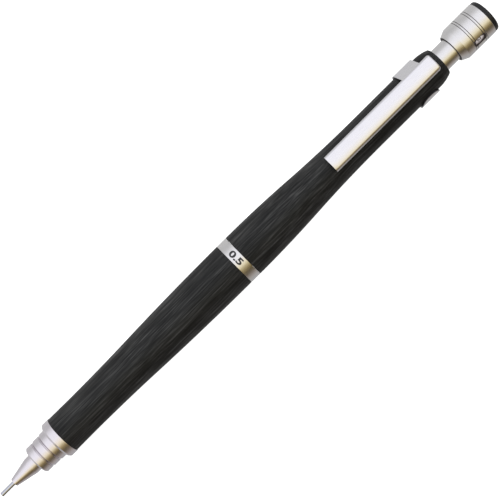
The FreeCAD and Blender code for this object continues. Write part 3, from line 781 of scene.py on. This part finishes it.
clip_band_piece = add_piece(
    "clip_band_sheet", strip_vertices.reshape(-1, 3),
    sheet_faces(*strip_vertices.shape[:2]).reshape(-1, 4), "barrel",
    "clip_steel", clip_steel, "clip_band")
# the band's rim gets the near-black metal: painted shade round the tongue's end
finish_sheet(clip_band_piece, band_edge, painted_shade_edge)


# ---- Rear bush and eraser holder ---------------------------------------------------------
# The bush is a moulded guide in the barrel's mouth. The holder is a plain metal tube that
# slides in it with the lead tube.

plastic_inner = new_material("plastic_inner", (0.10, 0.10, 0.105), 0.5)
feed(plastic_inner, "Roughness", spread(
    plastic_inner, streaks(plastic_inner, (2500, 2500, 2500)), 0.42, 0.58))

bush_front, bush_back = ends("rear_bush")
bush_rear_face = bush_back - 0.02
bush_bore = 2.85
bush_radius = 3.30
bush_corner = 0.05
turned("rear_bush_moulded", [
    (bush_front, bush_bore), (bush_front, bush_radius),
    (bush_rear_face, bush_radius), (bush_rear_face, bush_bore),
], bush_corner, "barrel", "plastic_inner", plastic_inner, "rear_bush")

holder_radius = 2.75
holder_bore = 2.35
holder_corner = 0.08
holder_front, holder_back = ends("eraser_holder")
turned("eraser_holder_tube", [
    (holder_front, holder_bore), (holder_front, holder_radius),
    (holder_back, holder_radius), (holder_back, holder_bore),
], holder_corner, "knock", "metal_satin", metal_satin, "eraser_holder")


# ---- Eraser ------------------------------------------------------------------------------
# White vinyl rod, pressed into the holder. Its rear end stands out of the holder under the
# cap, and its edges are worn round from use.

eraser_white = new_material("eraser_white", (0.86, 0.86, 0.84), 0.75)
crumb = streaks(eraser_white, (1500, 1500, 1500), 5.0)
feed(eraser_white, "Base Color", tint(
    eraser_white, crumb, (0.35, (0.74, 0.74, 0.72)), (0.6, (0.88, 0.88, 0.86))))
relief(eraser_white, crumb, 6e-5)

eraser_front, eraser_back = ends("eraser")
eraser_radius = 2.30
eraser_corner = 0.25
turned("eraser_rod", [
    (eraser_front, 0), (eraser_front, eraser_radius),
    (eraser_back, eraser_radius), (eraser_back, 0),
], eraser_corner, "knock", "eraser_white", eraser_white, "eraser", around=96)


# ---- Cap ---------------------------------------------------------------------------------
# Turned metal shell: a lip, a flare, and a cylinder with two pairs of fine grooves. The lip's
# inner bevel and the grooves' faces are painted near-black, painted shade for the dark lines
# there.
# The window is milled in two steps, a small opening and a shallow blackened ledge round it.

cap_front, cap_back = ends("cap_shell")
lip_radius = 3.35
lip_bore = 2.85
cap_radius = 4.08
cap_bore = 3.70
flare_length = 1.60
line_depth = 0.15
line_width = 0.11
line_stations = [cap_front + offset for offset in (3.66, 4.21, 6.54, 7.09)]
rim_chamfer = 0.12
bore_start = cap_front + 1.68
cap_corner = 0.05
inner_bevel_back = cap_front + 0.40         # the lip is bevelled inside from here forward
lip_edge = 0.06                             # what is left of the lip's face, rounded off
cap_outline = [
    (inner_bevel_back, lip_bore),
    (cap_front + 0.03, lip_radius - 2 * lip_edge),
    (cap_front, lip_radius - lip_edge),
    (cap_front + 0.02, lip_radius),
    (cap_front + flare_length, cap_radius),
]
for station in line_stations:
    line_front, line_back = station - line_width / 2, station + line_width / 2
    cap_outline += [
        (line_front, cap_radius), (line_front, cap_radius - line_depth),
        (line_back, cap_radius - line_depth), (line_back, cap_radius),
    ]
cap_outline += [
    (cap_back - rim_chamfer, cap_radius), (cap_back, cap_radius - rim_chamfer),
    (cap_back, cap_bore), (bore_start, cap_bore), (bore_start, lip_bore),
]
cap_piece = turned("cap_shell_turned", cap_outline, cap_corner, "cap", "metal_satin",
                   metal_satin, "cap_shell", around=224)
# near-black: real black fill on the window's ledge, and painted shade in the lip's inner bevel
# and the cap's grooves
black_fill_and_painted_shade = new_material("black_fill_and_painted_shade", (0.022, 0.016, 0.016), 0.4)
feed(black_fill_and_painted_shade, "Roughness", spread(
    black_fill_and_painted_shade, streaks(black_fill_and_painted_shade, (3000, 3000, 3000)), 0.32, 0.5))


def darken(piece, material, first, last, below):
    """Paint shade: give the faces between two stations and under a radius a second finish."""
    piece.data.materials.append(material)
    for face in piece.data.polygons:
        x, y, z = face.center / MM
        if first < x < last and math.hypot(y, z) < below:
            face.material_index = len(piece.data.materials) - 1


# painted shade: the lip's inner bevel turned near-black for the shadow line where the cap meets
# the holder
darken(cap_piece, black_fill_and_painted_shade, cap_front + 0.01, inner_bevel_back + 0.05, lip_radius - 0.08)
# painted shade: the grooves' faces turned near-black to draw the fine dark lines
for station in line_stations:
    darken(cap_piece, black_fill_and_painted_shade, station - line_width, station + line_width, cap_radius - 0.05)


def stadium(length, width, count=24):
    """Outline of two half circles joined by straight sides, along the first axis."""
    turn = np.linspace(-math.pi / 2, math.pi / 2, count)
    reach = (length - width) / 2
    cap_end = np.stack([reach + width / 2 * np.cos(turn), width / 2 * np.sin(turn)], 1)
    return np.concatenate([cap_end, -cap_end])


window_angle = math.radians(54)
window_station = cap_front + 5.23
window_outside = (3.45, 2.60)
window_inside = (2.45, 1.50)
ledge_radius = cap_radius - 0.09
past_the_wall = 0.6                 # the cutter reaches this far beyond both sides


def window_cutter():
    """A stepped plug: a small stadium through the shell and a larger one at its surface."""
    loops = []
    for radius, size in ((cap_bore - past_the_wall, window_inside),
                         (ledge_radius, window_inside), (ledge_radius, window_outside),
                         (cap_radius + past_the_wall, window_outside)):
        flat = stadium(*size)
        loops.append(np.stack([
            window_station + flat[:, 0],
            -radius * math.sin(window_angle) - flat[:, 1] * math.cos(window_angle),
            radius * math.cos(window_angle) - flat[:, 1] * math.sin(window_angle)], 1))
    count = len(loops[0])
    steps = len(loops) - 1
    vertices = np.concatenate(loops) * MM
    around_loop = np.arange(count)
    following = (around_loop + 1) % count
    faces = [tuple(around_loop), tuple(around_loop + steps * count)]
    for level in range(steps):
        base = level * count
        faces += zip(base + around_loop, base + following,
                     base + count + following, base + count + around_loop)
    mesh = bpy.data.meshes.new("window_cutter")
    mesh.from_pydata(vertices.tolist(), [], [tuple(map(int, face)) for face in faces])
    shape = bmesh.new()
    shape.from_mesh(mesh)
    bmesh.ops.recalc_face_normals(shape, faces=shape.faces)
    shape.to_mesh(mesh)
    shape.free()
    mesh.materials.append(black_fill_and_painted_shade)
    cutter = bpy.data.objects.new("window_cutter", mesh)
    bpy.context.scene.collection.objects.link(cutter)
    return cutter


cutter = window_cutter()
mill = cap_piece.modifiers.new("mill", "BOOLEAN")
mill.operation = "DIFFERENCE"
mill.solver = "EXACT"
mill.material_mode = "TRANSFER"
mill.object = cutter
bpy.context.view_layer.update()
milled = bpy.data.meshes.new_from_object(
    cap_piece.evaluated_get(bpy.context.evaluated_depsgraph_get()))
cap_piece.modifiers.clear()
cap_piece.data = milled
milled.shade_smooth()
milled.set_sharp_from_angle(angle=math.radians(40))
bpy.data.objects.remove(cutter)


# ---- Cap liner ---------------------------------------------------------------------------
# A moulded ring, pressed into the cap, that grips the holder. Its narrow lip stops on the
# holder's end, so the cap always goes on to the same depth.

liner_front, liner_back = ends("cap_liner")
liner_radius = 3.65
liner_bore = 2.80
stop_bore = 2.45
stop_face = liner_back - 0.25
liner_corner = 0.04
turned("cap_liner_moulded", [
    (liner_front, liner_bore), (liner_front, liner_radius),
    (liner_back, liner_radius), (liner_back, stop_bore),
    (stop_face, stop_bore), (stop_face, liner_bore),
], liner_corner, "cap", "plastic_inner", plastic_inner, "cap_liner", around=96)


# ---- Grade dial --------------------------------------------------------------------------
# A pale moulded drum pressed on the plug's stem and printed with plain numbers. One of them
# shows in the window.

dial_pale = new_material("dial_pale", (0.90, 0.82, 0.80), 0.45)
feed(dial_pale, "Roughness", spread(
    dial_pale, streaks(dial_pale, (2000, 2000, 2000)), 0.3, 0.42))

dial_front, dial_back = ends("grade_dial")
dial_radius = 3.60
dial_bore = 3.0
dial_corner = 0.05
turned("grade_dial_drum", [
    (dial_front, dial_bore), (dial_front, dial_radius),
    (dial_back, dial_radius), (dial_back, dial_bore),
], dial_corner, "dial", "dial_white", dial_pale, "grade_dial", around=128)
digits = 8
digit_height = 1.00
shown = 2                           # the number that stands in the window
for number in range(digits):
    printed(f"dial_number_{number}", str(number), digit_height, window_station,
            window_angle + 2 * math.pi * (number - shown) / digits, dial_radius + ink_rise,
            "dial", ink_black)


# ---- Plug and its ring -------------------------------------------------------------------
# Black moulded plug with a low dome, turned by a finger to set the dial. A split ring in
# its groove keeps it in the cap.

plastic_black = new_material("plastic_black", (0.008, 0.008, 0.009), 0.35)
moulding = plastic_black.node_tree.nodes["Principled BSDF"]
moulding.inputs["Specular IOR Level"].default_value = 0.3
feed(plastic_black, "Roughness", spread(
    plastic_black, streaks(plastic_black, (900, 900, 900), 5.0), 0.22, 0.36))

plug_front, plug_back = ends("cap_plug")
dome_radius = 4.00
dome_start = cap_back + 0.02
edge_length = 0.46
edge_corner = 0.65
crown_radius = dome_radius - edge_corner
crown_rise = plug_back - dome_start - edge_length - edge_corner
crown_circle = (crown_radius**2 + crown_rise**2) / (2 * crown_rise)
corner_turn = np.linspace(0, math.pi / 2, 10)[:-1]
crown_turn = np.linspace(math.asin(crown_radius / crown_circle), 0, 20)
dome = np.concatenate([
    np.stack([dome_start + edge_length + edge_corner * np.sin(corner_turn),
              crown_radius + edge_corner * np.cos(corner_turn)], 1),
    np.stack([plug_back - crown_circle * (1 - np.cos(crown_turn)),
              crown_circle * np.sin(crown_turn)], 1)])
stem_radius = 2.97
stem_back = dial_back + 0.05
bearing_radius = 3.60
groove_play = 0.02
groove_radius = 3.28
groove_front = ends("retaining_ring")[0] - groove_play
groove_back = ends("retaining_ring")[1] + groove_play
plug_corner = 0.08
turned("cap_plug_moulded", [
    (plug_front, 0), (plug_front, stem_radius),
    (stem_back, stem_radius), (stem_back, bearing_radius),
    (groove_front, bearing_radius), (groove_front, groove_radius),
    (groove_back, groove_radius), (groove_back, bearing_radius),
    (dome_start, bearing_radius), (dome_start, dome_radius), *dome,
], plug_corner, "dial", "plastic_black", plastic_black, "cap_plug", around=160)


# ---- Return spring -----------------------------------------------------------------------
# Steel wire wound in seven turns inside the mechanism's housing. Its front end stands still,
# and the lead tube presses the rear end when the cap is pushed.

spring_steel = satin_metal("spring_steel", (0.55, 0.55, 0.56), 0.3, 1e-6)

spring_front, spring_back = ends("return_spring")
wire_radius = 0.18
coil_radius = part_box("return_spring")[1].y / MM - wire_radius
coil_turns = 7


def wound_wire(steps=280, around=10):
    """A wire that goes round the axis at an even pitch.

    At share s of the way, its middle is (front + s length, -R sin a, R cos a), where a is s
    times all the turns. A round section of the wire's radius stands square to that line, and
    shrinks to a point at both ends.
    """
    share = np.linspace(0, 1, steps)[:, None]
    turn = 2 * math.pi * coil_turns * share
    run_x = spring_back - spring_front - 2 * wire_radius
    outward = np.concatenate([0 * turn, -np.sin(turn), np.cos(turn)], 1)
    middle = coil_radius * outward + [spring_front + wire_radius, 0, 0]
    middle[:, 0] += run_x * share[:, 0]
    forward = np.concatenate([
        run_x / (2 * math.pi * coil_turns) + 0 * turn,
        -coil_radius * np.cos(turn), -coil_radius * np.sin(turn)], 1)
    forward /= np.linalg.norm(forward, axis=1, keepdims=True)
    sideways = np.cross(forward, outward)
    section = np.linspace(0, 2 * math.pi, around, endpoint=False)[None, :, None]
    width = np.full((steps, 1, 1), wire_radius)
    width[[0, -1]] = 0
    ring = np.cos(section) * outward[:, None, :] + np.sin(section) * sideways[:, None, :]
    vertices = middle[:, None, :] + width * ring
    index = np.arange(steps * around).reshape(steps, around)
    after = np.roll(index, -1, 1)
    faces = np.stack([index[:-1], after[:-1], after[1:], index[1:]], 2)
    return vertices.reshape(-1, 3), faces.reshape(-1, 4)


spring_piece = add_piece("return_spring_wound", *wound_wire(), "barrel", "spring_steel",
                         spring_steel, "return_spring")
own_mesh(spring_piece)


# ---- Inside ------------------------------------------------------------------------------
# Parts that stay hidden until the cap is pulled or the barrel is opened keep their exact
# shape and get their own finish: turned brass, drawn wire, moulded tube, rubber and lead.

brass = satin_metal("brass", (0.72, 0.52, 0.22), 0.26, 1.5e-6)

rubber_grey = new_material("rubber_grey", (0.05, 0.05, 0.05), 0.8)
relief(rubber_grey, streaks(rubber_grey, (6000, 6000, 6000)), 2e-5)

tube_pale = new_material("tube_pale", (0.72, 0.72, 0.70), 0.4)
feed(tube_pale, "Roughness", spread(tube_pale, streaks(tube_pale, (300, 900, 900)), 0.34, 0.5))

graphite = new_material("graphite", (0.06, 0.06, 0.065), 0.38, 0.3)
feed(graphite, "Roughness", spread(graphite, streaks(graphite, (900, 9000, 9000)), 0.3, 0.5))

finishes = {
    "chuck": brass, "chuck_ring": brass,
    "retaining_ring": spring_steel, "mechanism_housing": metal_satin,
    "rear_liner": metal_satin, "lead_tube": tube_pale, "lead_retainer": rubber_grey,
    "lead": graphite, "spare_leads": graphite,
}
for node, finish in finishes.items():
    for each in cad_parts[node].material_slots:
        each.material = finish
